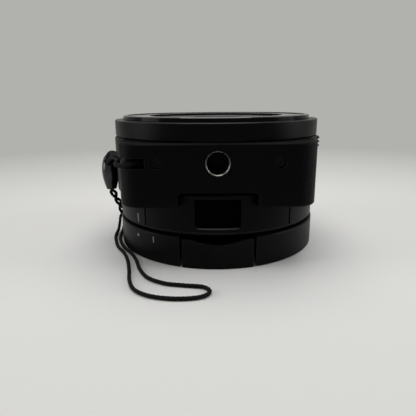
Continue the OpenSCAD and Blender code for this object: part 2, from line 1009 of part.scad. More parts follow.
// Inner moving barrel with the front plate, the blade chamber and the seat of the front lens
module inner_barrel() {
    r = barrel_r - barrel_step;
    in_r = r - barrel_wall;
    color(black)
    union() {
        turned([
            [in_r, inner_z0], [r, inner_z0], [r, inner_z1 - barrel_cut], [r - barrel_cut, inner_z1],
            [mouth_r, inner_z1], [mouth_in_r, chamber_z1], [in_r, chamber_z1], [in_r, chamber_z0],
            [chamber_hole_r, chamber_z0], [chamber_hole_r, chamber_floor_z], [in_r, chamber_floor_z],
            [in_r, seat_z1], [cell_r, seat_z1], [cell_r, cell_z1], [cell_in_r, cell_z1], [cell_in_r, seat_z1],
            [seat_in_r, seat_z1], [seat_in_r, seat_z0], [in_r, seat_z0]
        ]);
        for (side = [-1, 1])
            translate([side * blade_pivot, 0, pivot_z0])
                cylinder(r = pivot_r, h = pivot_h);
    }
}

// One half of the lens barrier, with the hole for its pivot
module barrier_blade() {
    translate([0, 0, blade_z])
        linear_extrude(height = blade_t)
            difference() {
                union() {
                    intersection() {
                        circle(r = blade_r);
                        translate([-outside, blade_gap])
                            square([2 * outside, outside]);
                    }
                    translate([blade_pivot, 0])
                        circle(r = blade_eye_r);
                    translate([blade_arm_x, blade_gap])
                        square([blade_pivot - blade_arm_x, blade_arm_w]);
                }
                translate([blade_pivot, 0])
                    circle(r = blade_hole_r);
            }
}

module barrier_blade_a() {
    color(satin)
    barrier_blade();
}

module barrier_blade_b() {
    color(satin)
    rotate([0, 0, 180])
        barrier_blade();
}

// Biconvex lens with a straight edge, from its radius and the radius of its faces
module lens(radius, edge, z, face_r) {
    sag = face_r - sqrt(face_r * face_r - radius * radius);
    intersection() {
        translate([0, 0, z - edge / 2 - sag])
            cylinder(r = radius, h = edge + 2 * sag);
        translate([0, 0, z + edge / 2 + sag - face_r])
            sphere(r = face_r, $fn = 256);
        translate([0, 0, z - edge / 2 - sag + face_r])
            sphere(r = face_r, $fn = 256);
    }
}

// Front lens in the inner barrel
module front_lens() {
    color(glass)
    difference() {
        lens(radius = 11.6, edge = 1.6, z = 32.95, face_r = 40);
        block([-outside, -outside, 0], [outside, outside, lens_flat_z]);
    }
}

// Zoom group: a cell with its lens
module zoom_lens_group() {
    color(glass)
    union() {
        lens(radius = 7.6, edge = 1.2, z = 27.7, face_r = 60);
        tube(outer = group_r, inner = 7.55, z0 = cell_bottom_z, z1 = cell_top_z);
    }
}

// Iris under the zoom group
module iris_unit() {
    color(steel)
    tube(group_r, iris_r, iris_z0, iris_z1);
}

// Focus lens on its carriage, which runs on two guide rods
module focus_lens() {
    color(glass)
    difference() {
        union() {
            lens(radius = 6.4, edge = 0.8, z = 21.2, face_r = 26);
            tube(carriage_r, carriage_in_r, carriage_z0, carriage_z1);
            block([-arm_x1, -arm_half, carriage_z0], [-arm_x0, arm_half, carriage_z1]);
            block([arm_x0, -arm_half, carriage_z0], [arm_x1, arm_half, carriage_z1]);
        }
        for (side = [-1, 1])
            translate([side * guide_x, 0, carriage_z0 - spare])
                cylinder(r = guide_r + slip, h = carriage_z1 - carriage_z0 + 2 * spare);
    }
}

// Guide rods of the focus carriage
module focus_guides() {
    color(steel)
    for (side = [-1, 1])
        translate([side * guide_x, 0, tube_z0])
            cylinder(r = guide_r, h = guide_len);
}

// Filter over the sensor
module infrared_filter() {
    color([0.5, 0.8, 0.8])
    centred_box(half_x = 5, half_y = 4, z0 = sensor_z1, z1 = filter_z1);
}

// Image sensor
module image_sensor() {
    color([0.15, 0.2, 0.3])
    centred_box(half_x = 5.6, half_y = 4.8, z0 = sensor_z0, z1 = sensor_z1);
}

// Plate that carries the sensor
module sensor_plate() {
    color(steel)
    difference() {
        centred_box(half_x = 9, half_y = 8, z0 = plate_z0, z1 = sensor_z0);
        for (side = [-1, 1])
            translate([side * plate_hole_x, plate_hole_y, plate_z0 - spare])
                cylinder(r = plate_hole_r, h = 3 * spare);
    }
}

// Main circuit board on three legs inside the rear boss
module main_board() {
    color(board_green)
    union() {
        translate([0, 0, board_z0])
            cylinder(r = board_r, h = board_t);
        for (a = [30, 150, 270])
            rotate([0, 0, a])
                translate([leg_x, 0, boss_z0 + boss_floor])
                    cylinder(r = leg_r, h = leg_h);
    }
}

// Shield can over the processor
module processor_shield() {
    color(steel)
    centred_box(half_x = 8, half_y = 8, z0 = board_z0 + board_t, z1 = shield_z1);
}

// Flat antenna on the rear wall
module nfc_antenna() {
    color([0.5, 0.32, 0.18])
    tube(antenna_r, antenna_in_r, boss_z0 + boss_floor, boss_z0 + boss_floor + antenna_t);
}

// Card slot under the chassis
module card_slot() {
    color(steel)
    difference() {
        block([-slot_half, slot_y0, slot_z0], [slot_half, slot_y1, chassis_z0]);
        block([-card_half - card_gap, -outside, card_z0 - slip],
              [card_half + card_gap, card_y1 + card_gap, card_z0 + card_t + card_lift]);
    }
}

// Memory card in its slot
module memory_card() {
    color([0.1, 0.1, 0.12])
    block([-card_half, card_y0, card_z0], [card_half, card_y1, card_z0 + card_t]);
}

// Part of a round wall on the tripod side, between two angles either way of -Y
module front_wall(outer, inner, half_angle, z0, z1) {
    rotate([0, 0, -90 - half_angle])
        translate([0, 0, z0])
            rotate_extrude(angle = 2 * half_angle)
                translate([inner, 0])
                    square([outer - inner, z1 - z0]);
}

// Tab of the battery cover, which follows the band and has a bevelled top
module cover_tab() {
    tab_top = notch_top - tab_gap - slip;
    tab_z0 = band_z1 - tab_sink;
    intersection() {
        rotate([0, 0, -90 - tab_half_angle])
            rotate_extrude(angle = 2 * tab_half_angle)
                polygon([
                    [tab_in_r, tab_z0], [band_r, tab_z0], [band_r, tab_top - tab_bevel],
                    [band_r - tab_bevel, tab_top], [tab_in_r, tab_top]
                ]);
        notch_prism(-outside, 0, tab_gap);
    }
}

// Pocket for a fingernail, with its lower corners cut off and a bevelled lip under it
module cover_pocket() {
    lip_half_angle = asin((lip_half_w - lip_end) / band_r);
    lip_in_r = band_r - lip_bevel;
    translate([0, pocket_y, 0])
        rotate([90, 0, 0])
            linear_extrude(height = outside + pocket_y)
                polygon([
                    [-pocket_half_w, pocket_z1], [-pocket_half_w, pocket_z0 + pocket_corner],
                    [-lip_half_w, pocket_z0], [lip_half_w, pocket_z0],
                    [pocket_half_w, pocket_z0 + pocket_corner], [pocket_half_w, pocket_z1]
                ]);
    translate([0, 0, pocket_z0])
        rotate([0, 0, -90 - lip_half_angle])
            rotate_extrude(angle = 2 * lip_half_angle)
                polygon([
                    [lip_in_r, join], [lip_in_r, 0],
                    [lip_in_r + lip_drop, -lip_drop], [lip_in_r + lip_drop, join]
                ]);
}

// Battery cover on the band, with its tab in the notch
module battery_cover() {
    half_angle = cover_half_angle - cover_gap_angle;
    color(satin)
    difference() {
        union() {
            front_wall(band_r, band_in_r + join, half_angle, cover_z0, band_z1 - join);
            cover_tab();
            intersection() {
                block([-pocket_half_w - pocket_wall, -outside, cover_z0 + pocket_box_inset],
                      [pocket_half_w + pocket_wall, pocket_back_y, notch_top - pocket_box_drop]);
                cylinder(r = band_r - pocket_box_inset, h = outside);
            }
        }
        cover_pocket();
    }
}

// Drawer that carries the battery
module battery_tray() {
    color([0.2, 0.2, 0.21])
    intersection() {
        union() {
            block([-tray_half, tray_y0, tray_z0], [tray_half, tray_y1, tray_z0 + tray_floor]);
            for (side = [0, 1])
                mirror([side, 0, 0])
                    block([tray_half - tray_wall, tray_side_y0, tray_z0],
                          [tray_half, tray_y1, tray_z0 + tray_h]);
        }
        cylinder(r = band_in_r + slip, h = outside);
    }
}

// Flat battery pack with rounded edges
module battery() {
    core_half = battery_half - battery_round;
    core_t = battery_t - 2 * battery_round;
    color([0.22, 0.24, 0.28])
    translate([0, battery_y1, tray_z0 + tray_floor + slip])
        rotate([90, 0, 0])
            linear_extrude(height = battery_len)
                union() {
                    translate([-core_half, 0])
                        square([2 * core_half, battery_t]);
                    translate([-battery_half, battery_round])
                        square([2 * battery_half, core_t]);
                    for (x = [-core_half, core_half])
                        for (y = [battery_round, battery_round + core_t])
                            translate([x, y])
                                circle(r = battery_round);
                }
}

// Contact block behind the battery
module battery_contacts() {
    color(brass)
    union() {
        block([-contact_half, contact_y0, band_z0 + band_floor], [contact_half, contact_y1, contact_z1]);
        for (i = [-1:1])
            translate([i * contact_pitch, 0, 0])
                block([-contact_pin_half, contact_pin_y0, contact_pin_z0],
                      [contact_pin_half, contact_y0 + join, contact_pin_z1]);
    }
}

// Round lug on a hinge line along X
module hinge_lug(y, half_w) {
    translate([-half_w, y, hinge_z])
        rotate([0, 90, 0])
            cylinder(r = lug_r, h = 2 * half_w);
}

// Bore along a hinge line
module hinge_hole(y, radius, half_len) {
    translate([-half_len, y, hinge_z])
        rotate([0, 90, 0])
            cylinder(r = radius, h = 2 * half_len);
}

// Base of the phone attachment: ring, disc, bayonet lugs, rails and pad seats
module attachment_base() {
    clear = clip_half_w + clip_gap;
    color(satin)
    difference() {
        union() {
            difference() {
                union() {
                    turned([
                        [att_in_r, 0], [att_r - att_foot_cut, 0], [att_r, att_foot_cut],
                        [att_r, att_h - att_top_cut], [att_r - att_top_cut, att_h], [att_in_r, att_h],
                        [att_in_r, disc_z1], [0, disc_z1], [0, disc_z0], [att_in_r, disc_z0]
                    ]);
                    tube(collar_r, collar_in_r, disc_z1 - join, collar_z1);
                    for (a = bayonet_angles)
                        rotate([0, 0, a - catch_half_angle])
                            translate([0, 0, catch_z0])
                                rotate_extrude(angle = 2 * catch_half_angle)
                                    translate([catch_in_r, 0])
                                        square([catch_w, catch_h]);
                }
                for (side = [0, 1])
                    mirror([0, side, 0])
                        block([-clear, -outside, -spare], [clear, clip_room_y, outside]);
            }
            translate([0, 0, pad_t])
                cylinder(r = seat_r, h = seat_h);
            for (side = [0, 1])
                mirror([side, 0, 0]) {
                    block([seat_x0, -seat_half, pad_t], [seat_x1, seat_half, disc_z0 + join]);
                    block([sheet_half + rail_gap, rail_y0, rail_z0], [rail_x1, rail_y1, disc_z0 + join]);
                    block([rail_x0, rail_y0, rail_z0], [rail_x1, rail_y1, sheet_z0 - rail_gap]);
                }
            block([-lug_half, -hinge_y, disc_z0], [lug_half, lug_root_y, disc_z1]);
            hinge_lug(-hinge_y, lug_half);
        }
        hinge_hole(-hinge_y, hinge_pin_r + fit, lug_half + spare);
        block([-sheet_half - sheet_room, rail_y1, sheet_z0 - join],
              [sheet_half + sheet_room, outside, sheet_z1 + join]);
    }
}

// Rubber pads that rest on a phone or a table
module phone_pads() {
    color(rubber)
    union() {
        cylinder(r = seat_r - pad_edge, h = pad_t);
        for (side = [0, 1])
            mirror([side, 0, 0])
                block([seat_x0 + pad_edge, pad_edge - seat_half, 0],
                      [seat_x1 - pad_edge, seat_half - pad_edge, pad_t]);
    }
}

// Folding clip on the tripod side: curved front wall, cheeks and the plate that grips a phone
module folding_clip() {
    difference() {
        intersection() {
            union() {
                difference() {
                    translate([0, 0, clip_z0])
                        cylinder(r = att_r, h = clip_h);
                    cylinder(r = clip_in_r, h = outside);
                    translate([0, 0, clip_scoop_z + clip_scoop_r])
                        rotate([90, 0, 0])
                            cylinder(r = clip_scoop_r, h = outside);
                }
                block([-outside, -outside, clip_plate_z0], [outside, clip_len - hinge_y, clip_plate_z1]);
                for (side = [0, 1])
                    mirror([side, 0, 0]) {
                        block([cheek_x, -outside, clip_plate_z0], [outside, cheek_y, hinge_z]);
                        translate([cheek_x, -hinge_y, hinge_z])
                            rotate([0, 90, 0])
                                cylinder(r = cheek_r, h = outside);
                    }
            }
            block([-clip_half_w, -outside, 0], [clip_half_w, clip_len - hinge_y, outside]);
            cylinder(r = att_r, h = outside);
        }
        hinge_hole(-hinge_y, hinge_pin_r + slip, clip_half_w + spare);
    }
}

// Hinge pin of a clip on the tripod side
module clip_pin() {
    translate([-hinge_pin_half, -hinge_y, hinge_z])
        rotate([0, 90, 0])
            cylinder(r = hinge_pin_r, h = 2 * hinge_pin_half);
}

// Rubber grip on a clip's plate
module clip_pad() {
    block([-clip_pad_half, clip_pad_y0, clip_plate_z1],
          [clip_pad_half, clip_len - hinge_y - clip_pad_edge, clip_plate_z1 + clip_pad_t]);
}

module front_clip() {
    color(satin)
    folding_clip();
}

module front_clip_pin() {
    color(steel)
    clip_pin();
}

module front_clip_pad() {
    color(rubber)
    clip_pad();
}

// Sliding sheet that carries the rear clip
module slide_plate() {
    color(steel)
    difference() {
        union() {
            block([-sheet_half, sheet_y0, sheet_z0], [sheet_half, sheet_y1, sheet_z1]);
            block([-lug_half, tongue_y, sheet_z0], [lug_half, hinge_y + lug_r, sheet_z1]);
            block([-lug_half, hinge_y - lug_r, sheet_z0], [lug_half, hinge_y + lug_r, hinge_z]);
            hinge_lug(hinge_y, lug_half);
        }
        hinge_hole(hinge_y, hinge_pin_r + fit, lug_half + spare);
    }
}

module rear_clip() {
    color(satin)
    mirror([0, 1, 0])
        folding_clip();
}

module rear_clip_pin() {
    color(steel)
    mirror([0, 1, 0])
        clip_pin();
}

module rear_clip_pad() {
    color(rubber)
    mirror([0, 1, 0])
        clip_pad();
}

// Point on a smooth curve through a route, between its points i and i + 1
function smooth_point(route, i, t) =
    let (
        last = len(route) - 1,
        a = route[max(i - 1, 0)],
        b = route[i],
        c = route[min(i + 1, last)],
        d = route[min(i + 2, last)]
    )
    0.5 * (2 * b + (c - a) * t + (2 * a - 5 * b + 4 * c - d) * t * t + (3 * b - a - 3 * c + d) * t * t * t);

// Smooth curve through a route, with two steps between neighbouring points
function smooth_route(route) = [
    for (i = [0:len(route) - 2])
        for (t = [0, 0.5])
            smooth_point(route, i, t),
    route[len(route) - 1]
];

function unit(v) = v / norm(v);

// Direction of a curve at one of its points
function heading(curve, i) = unit(curve[min(i + 1, len(curve) - 1)] - curve[max(i - 1, 0)]);

// Ring of points square to a curve
function ring_points(curve, i, radius, sides) =
    let (
        ahead = heading(curve, i),
        across = unit(cross(ahead, [0.6, 0.1, 0.8])),
        upward = cross(across, ahead)
    )
    [for (s = [0:sides - 1]) let (a = 360 * s / sides)
        curve[i] + radius * (cos(a) * across + sin(a) * upward)];

// Cord swept along a route
module cord(route, diameter) {
    sides = 8;
    curve = smooth_route(route);
    rings = len(curve);
    points = [for (i = [0:rings - 1]) each ring_points(curve, i, diameter / 2, sides)];
    faces = concat(
        [[for (s = [0:sides - 1]) s]],
        [for (i = [0:rings - 2]) for (s = [0:sides - 1]) each [
            [i * sides + s, (i + 1) * sides + s, (i + 1) * sides + (s + 1) % sides],
            [i * sides + s, (i + 1) * sides + (s + 1) % sides, i * sides + (s + 1) % sides]
        ]],
        [[for (s = [sides - 1:-1:0]) (rings - 1) * sides + s]]
    );
    polyhedron(points = points, faces = faces);
}

// Thin cord from the post to the bead
module hook_cord() {
    color(black)
    cord(hook_route, hook_cord_d);
}

// Egg-shaped bead that joins the two cords: the hook cord goes into its side and the hand cord into its foot
module strap_bead() {
    steps = 10;
    lower = [for (i = [0:steps]) let (a = 90 * i / steps)
        [bead_end_r + (bead_widest - bead_end_r) * sin(a), bead_z0 + (bead_mid_z - bead_z0) * i / steps]];
    upper = [for (i = [1:steps]) let (a = 90 * i / steps)
        [bead_top_r + (bead_widest - bead_top_r) * cos(a), bead_mid_z + (bead_z1 - bead_mid_z) * sin(a)]];
    color(black)
    translate([bead_x, 0, 0])
        difference() {
            turned(concat([[0, bead_z0]], lower, upper, [[0, bead_z1]]));
            translate([0, 0, bead_z0 - spare])
                cylinder(r = bead_foot_r, h = bead_foot_depth + spare);
            translate([0, bead_eye_y, bead_eye_z])
                rotate([90, 0, 0])
                    cylinder(r = bead_eye_r, h = bead_eye_len);
        }
}

// Hand cord: a loop that leaves the bead and comes back to it
module hand_cord() {
    color(black)
    cord(hand_route, hand_cord_d);
}

main_housing();
front_ring();
lens_bezel();
light_seal();
rear_cover();
side_panel();
chassis();
tripod_socket();
strap_post();
housing_screws();
zoom_lever();
shutter_button();
shutter_switch();
power_button();
power_switch();
status_lamp();
microphones();
display_window();
display_module();
usb_socket();
lens_base();
zoom_ring_gear();
zoom_pinion();
zoom_motor();
outer_barrel();
inner_barrel();
barrier_blade_a();
barrier_blade_b();
front_lens();
zoom_lens_group();
iris_unit();
focus_lens();
focus_guides();
infrared_filter();
image_sensor();
sensor_plate();
main_board();
processor_shield();
nfc_antenna();
card_slot();
memory_card();
battery_cover();
battery_tray();
battery();
battery_contacts();
attachment_base();
phone_pads();
front_clip();
front_clip_pin();
front_clip_pad();
slide_plate();
rear_clip();
rear_clip_pin();
rear_clip_pad();
hook_cord();
strap_bead();
hand_cord();
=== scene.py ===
import json
import math

import bpy
from mathutils import Matrix, Vector


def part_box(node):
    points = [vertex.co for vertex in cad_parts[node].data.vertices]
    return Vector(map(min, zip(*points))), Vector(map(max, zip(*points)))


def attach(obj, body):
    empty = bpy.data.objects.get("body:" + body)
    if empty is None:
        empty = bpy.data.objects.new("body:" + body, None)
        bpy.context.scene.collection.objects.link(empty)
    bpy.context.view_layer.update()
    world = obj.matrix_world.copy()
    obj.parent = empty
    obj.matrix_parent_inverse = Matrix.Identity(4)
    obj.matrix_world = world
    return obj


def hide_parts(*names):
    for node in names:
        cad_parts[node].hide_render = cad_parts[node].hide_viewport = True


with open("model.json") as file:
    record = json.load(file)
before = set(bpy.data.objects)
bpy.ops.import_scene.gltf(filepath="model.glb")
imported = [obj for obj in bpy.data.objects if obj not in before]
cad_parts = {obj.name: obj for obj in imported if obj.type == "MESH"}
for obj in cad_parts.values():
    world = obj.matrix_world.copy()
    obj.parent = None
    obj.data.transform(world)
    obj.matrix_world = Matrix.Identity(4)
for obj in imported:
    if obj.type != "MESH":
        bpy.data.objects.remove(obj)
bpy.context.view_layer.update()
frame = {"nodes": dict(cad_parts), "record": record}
scene = bpy.context.scene
MM = 0.001
MICRON = 1.0e-6

# Camera, fitted to the photo
EYE = Vector((-2.2, -125.8, 42.4)) * MM
PITCH, YAW, ROLL = (math.radians(a) for a in (15.05, -0.19, -0.49))
SENSOR_WIDTH_MM = 36.0
FOCAL_LENGTH_MM = 34.1
NEAR_CLIP = 5 * MM


def add_camera():
    forward = Vector((math.sin(YAW) * math.cos(PITCH), math.cos(YAW) * math.cos(PITCH), -math.sin(PITCH)))
    across = Vector((math.cos(YAW), -math.sin(YAW), 0.0))
    over = across.cross(forward)
    right = across * math.cos(ROLL) + over * math.sin(ROLL)
    up = over * math.cos(ROLL) - across * math.sin(ROLL)
    data = bpy.data.cameras.new("camera")
    data.sensor_width = SENSOR_WIDTH_MM
    data.lens = FOCAL_LENGTH_MM
    data.clip_start = NEAR_CLIP
    camera = bpy.data.objects.new("camera", data)
    turn = Matrix((right, up, -forward)).transposed()
    camera.matrix_world = Matrix.Translation(EYE) @ turn.to_4x4()
    scene.collection.objects.link(camera)
    scene.camera = camera


add_camera()

# Routes of the two cords, in millimetres, as in the part's source
HOOK_ROUTE = [
    (-33.95, 0.3, 25.22), (-33.95, -1.2, 25.22), (-33.95, -2.6, 25.26), (-33.6, -4.4, 26),
    (-32.6, -6.8, 27.25), (-31.2, -9.6, 28.2), (-29.2, -13.4, 28.68), (-27, -18.2, 28.68),
    (-25, -22.2, 28.68), (-22.6, -24.8, 28.68), (-20.5, -26.1, 28.6), (-19.9, -27.7, 28.34),
    (-20.5, -29.3, 28.08), (-22.1, -30, 27.75), (-23.8, -29.4, 27.48), (-25.6, -27.4, 27.4),
    (-26.2, -24.4, 27.4), (-26.6, -20.6, 27.4), (-27.9, -16.6, 27.4), (-29.8, -12.4, 27.4),
    (-31.4, -8.9, 26.6), (-32.7, -6.4, 25.4), (-33.6, -4.3, 24.46), (-33.95, -2.6, 24),
    (-33.95, -1.2, 23.98), (-33.95, 0.3, 23.98),
]
HAND_ROUTE = [
    (-33.95, 0.6, 17.2), (-33.95, 0.6, 15.5), (-34.36, 0.4, 14), (-33.2, 0.54, 12.4), (-31.98, 2.4, 10.8),
    (-32.3, 4.12, 9.2), (-32.76, 4.2, 7.6), (-32.1, 4.14, 6), (-31.54, 4.9, 4.4), (-31.5, 3.8, 2.4),
    (-31.4, 1.2, 0.9), (-31.3, -2.7, 0.55), (-30.3, -8.1, 0.55), (-27.7, -14.7, 0.55), (-24.7, -19.6, 0.55),
    (-22.4, -24.8, 0.55), (-20.4, -30.8, 0.55), (-17.6, -36, 0.55), (-13.2, -39.2, 0.55), (-8.4, -40.4, 0.55),
    (-3.8, -41.3, 0.55), (-2.2, -43.6, 0.55), (-3.6, -45.9, 0.55), (-7, -46.9, 0.55), (-11.6, -46.8, 0.55),
    (-16.2, -45.4, 0.55), (-19.8, -42.4, 0.55), (-21.8, -37.6, 0.55), (-23, -31.8, 0.55),
    (-24.6, -25.4, 0.55), (-26.8, -19.4, 0.55), (-29.8, -13.9, 0.55), (-32.1, -6.8, 0.55),
    (-32.9, -2.4, 0.55), (-33, 1.6, 1),
    (-33, 4, 2.6), (-32.86, 4.9, 4.4), (-32.1, 5.46, 6), (-31.44, 4.2, 7.6), (-32.3, 2.68, 9.2),
    (-33.42, 2.4, 10.8), (-33.2, 2.06, 12.4), (-32.84, 0.4, 14), (-33.95, -0.6, 15.5), (-33.95, -0.6, 17.2),
]

# Any direction that no stretch of a cord follows, to start the cord's cross section from
CORD_SIDE = Vector((0.6, 0.1, 0.8))


def smooth_route(route, steps):
    """Points of a smooth curve through a route, in metres."""
    points = [Vector(p) * MM for p in route]
    last = len(points) - 1
    curve = []
    for i in range(last):
        a, b, c, d = points[max(i - 1, 0)], points[i], points[i + 1], points[min(i + 2, last)]
        for k in range(steps):
            t = k / steps
            curve.append(0.5 * (2 * b + (c - a) * t + (2 * a - 5 * b + 4 * c - d) * t * t
                                + (3 * b - a - 3 * c + d) * t * t * t))
    curve.append(points[last])
    return curve


def link_mesh(name, verts, faces, smooth=True):
    """A new mesh object from vertices in metres."""
    mesh = bpy.data.meshes.new(name)
    mesh.from_pydata(verts, [], faces)
    mesh.update()
    if smooth:
        for face in mesh.polygons:
            face.use_smooth = True
    obj = bpy.data.objects.new(name, mesh)
    scene.collection.objects.link(obj)
    return obj


def rope(name, points, radius, strands, pitch, depth, sides):
    """A laid cord along points, with its strands twisted round each other, and closed ends."""
    verts, faces = [], []
    ahead = (points[1] - points[0]).normalized()
    side = ahead.cross(CORD_SIDE).normalized()
    run = 0.0
    for i, point in enumerate(points):
        before, after = points[max(i - 1, 0)], points[min(i + 1, len(points) - 1)]
        ahead = (after - before).normalized()
        side = (side - ahead * side.dot(ahead)).normalized()
        other = ahead.cross(side)
        if i:
            run += (point - points[i - 1]).length
        for s in range(sides):
            angle = 2 * math.pi * s / sides
            lobe = abs(math.cos(0.5 * strands * (angle - 2 * math.pi * run / pitch)))
            reach = radius * (1.0 - depth * (1.0 - lobe) ** 2)
            verts.append(point + reach * (math.cos(angle) * side + math.sin(angle) * other))
    rings = len(points)
    for i in range(rings - 1):
        for s in range(sides):
            n = (s + 1) % sides
            faces.append((i * sides + s, i * sides + n, (i + 1) * sides + n, (i + 1) * sides + s))
    faces.append(tuple(reversed(range(sides))))
    faces.append(tuple((rings - 1) * sides + s for s in range(sides)))
    return link_mesh(name, verts, faces)


def declare_cord(obj, node):
    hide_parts(node)
    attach(obj, "camera")


HOOK_D, HAND_D = 1.2 * MM, 1.0 * MM
hook_points = smooth_route(HOOK_ROUTE, steps=8)
hand_points = smooth_route(HAND_ROUTE, steps=12)
hook_rope = rope("hook_rope", hook_points, HOOK_D / 2, strands=6, pitch=5.2 * MM, depth=0.18, sides=24)
hand_rope = rope("hand_rope", hand_points, HAND_D / 2, strands=3, pitch=3.4 * MM, depth=0.36, sides=18)
declare_cord(hook_rope, "hook_cord")
declare_cord(hand_rope, "hand_cord")


# Materials
EDGE_SAMPLES = 6
# Width of the painted highlight on sharp edges
EDGE_HIGHLIGHT_WIDTH = 0.22 * MM
# Sockets of a colour mix node
MIX_SHARE, MIX_FIRST, MIX_SECOND, MIX_RESULT = 0, 6, 7, 2


def material(name):
    made = bpy.data.materials.new(name)
    made.use_nodes = True
    tree = made.node_tree
    tree.nodes.clear()
    out = tree.nodes.new("ShaderNodeOutputMaterial")
    shader = tree.nodes.new("ShaderNodeBsdfPrincipled")
    tree.links.new(shader.outputs["BSDF"], out.inputs["Surface"])
    return made, tree, shader


def noise(tree, place, scale, detail=3.0, stretch=(1.0, 1.0, 1.0)):
    """Noise in the part's own frame, scale in waves a metre."""
    mapping = tree.nodes.new("ShaderNodeMapping")
    mapping.inputs["Scale"].default_value = stretch
    tree.links.new(place.outputs["Object"], mapping.inputs["Vector"])
    texture = tree.nodes.new("ShaderNodeTexNoise")
    texture.inputs["Scale"].default_value = scale
    texture.inputs["Detail"].default_value = detail
    tree.links.new(mapping.outputs["Vector"], texture.inputs["Vector"])
    return texture.outputs["Fac"]


def ramp(tree, source, low, high, start=0.3, end=0.7):
    node = tree.nodes.new("ShaderNodeMapRange")
    node.inputs["From Min"].default_value = start
    node.inputs["From Max"].default_value = end
    node.inputs["To Min"].default_value = low
    node.inputs["To Max"].default_value = high
    tree.links.new(source, node.inputs["Value"])
    return node.outputs["Result"]


def math_node(tree, operation, first, second):
    node = tree.nodes.new("ShaderNodeMath")
    node.operation = operation
    tree.links.new(first, node.inputs[0])
    tree.links.new(second, node.inputs[1])
    return node.outputs[0]


def mixed(tree, share, first, second):
    """A blend of two colours, of which each is a colour or a node's output."""
    node = tree.nodes.new("ShaderNodeMix")
    node.data_type = "RGBA"
    for index, colour in ((MIX_FIRST, first), (MIX_SECOND, second)):
        if isinstance(colour, tuple):
            node.inputs[index].default_value = (*colour, 1.0)
        else:
            tree.links.new(colour, node.inputs[index])
    tree.links.new(share, node.inputs[MIX_SHARE])
    return node.outputs[MIX_RESULT]


def scaled(colour, factor, lift=0.0):
    return tuple(c * factor + lift for c in colour)


def parts_of(tree, vector):
    node = tree.nodes.new("ShaderNodeSeparateXYZ")
    tree.links.new(vector, node.inputs["Vector"])
    return node.outputs


def length_of(tree, vector):
    node = tree.nodes.new("ShaderNodeVectorMath")
    node.operation = "LENGTH"
    tree.links.new(vector, node.inputs[0])
    return node.outputs["Value"]


def bevel_normal(tree, radius):
    """Normal of the solid with its edges rounded."""
    node = tree.nodes.new("ShaderNodeBevel")
    node.samples = EDGE_SAMPLES
    node.inputs["Radius"].default_value = radius
    return node.outputs["Normal"]


def bump(tree, shader, height, depth, rounding=0.0):
    """Surface relief of a real depth in metres, with the edges of the solid slightly rounded."""
    node = tree.nodes.new("ShaderNodeBump")
    node.inputs["Strength"].default_value = 1.0
    node.inputs["Distance"].default_value = depth
    tree.links.new(height, node.inputs["Height"])
    if rounding:
        tree.links.new(bevel_normal(tree, rounding), node.inputs["Normal"])
    tree.links.new(node.outputs["Normal"], shader.inputs["Normal"])


def axis_distance(tree, place):
    """Distance from the lens axis, in metres."""
    split = parts_of(tree, place.outputs["Object"])
    flat = tree.nodes.new("ShaderNodeCombineXYZ")
    tree.links.new(split["X"], flat.inputs["X"])
    tree.links.new(split["Y"], flat.inputs["Y"])
    return length_of(tree, flat.outputs["Vector"])


def painted_edge_highlight(tree):
    """1 on the sharp edges of a solid, where a painted highlight lightens them, and 0 on its faces."""
    face = tree.nodes.new("ShaderNodeNewGeometry")
    match = tree.nodes.new("ShaderNodeVectorMath")
    match.operation = "DOT_PRODUCT"
    tree.links.new(bevel_normal(tree, EDGE_HIGHLIGHT_WIDTH), match.inputs[0])
    tree.links.new(face.outputs["Normal"], match.inputs[1])
    return ramp(tree, match.outputs["Value"], 1.0, 0.0, start=0.80, end=0.985)


def painted_top_gloss(tree, wall_value, top_value):
    """One value on walls and another on the faces and bevels that look up, which paints a highlight on the
    tops.
    """
    face = tree.nodes.new("ShaderNodeNewGeometry")
    split = parts_of(tree, face.outputs["True Normal"])
    return ramp(tree, split["Z"], wall_value, top_value, start=0.35, end=0.6)


def moulded(name, colour, rough, grain, depth, level=0.4, rounding=0.12 * MM, spread=0.05, painted_shade_radius=None,
            edge_highlight_lift=0.0, painted_top_sheen=None):
    """Black or grey moulded plastic or rubber, with a fine grain and slow changes of gloss.

    The gloss is level, and higher on what looks up as a painted highlight. Inside the given radius the
    colour and gloss are painted darker, as painted shade in the recess. Edges are painted lighter by the
    given amount, a painted highlight."""
    made, tree, shader = material(name)
    place = tree.nodes.new("ShaderNodeTexCoord")
    slow = noise(tree, place, scale=90.0)
    fine = noise(tree, place, grain, detail=4.0)
    finish = mixed(tree, ramp(tree, slow, 0.0, 1.0), scaled(colour, 0.86), colour)
    # Painted highlight: more gloss on the faces and bevels that look up.
    gloss = painted_top_gloss(tree, level, level if painted_top_sheen is None else painted_top_sheen)
    # Painted shade: inside the radius the colour is darker and the gloss lower, as shade in the recess.
    if painted_shade_radius:
        blur = 0.1 * MM
        outside = ramp(tree, axis_distance(tree, place), 0.0, 1.0, painted_shade_radius - blur, painted_shade_radius + blur)
        finish = mixed(tree, outside, scaled(colour, 0.15), finish)
        gloss = math_node(tree, "MULTIPLY", gloss, ramp(tree, outside, 0.15, 1.0, 0.0, 1.0))
    # Painted highlight: the sharp edges are lightened in the base colour.
    if edge_highlight_lift:
        finish = mixed(tree, painted_edge_highlight(tree), finish, scaled(colour, 1.0, lift=edge_highlight_lift))
    tree.links.new(finish, shader.inputs["Base Color"])
    tree.links.new(gloss, shader.inputs["Specular IOR Level"])
    tree.links.new(ramp(tree, slow, rough - spread, rough + spread), shader.inputs["Roughness"])
    bump(tree, shader, fine, depth, rounding)
    return made


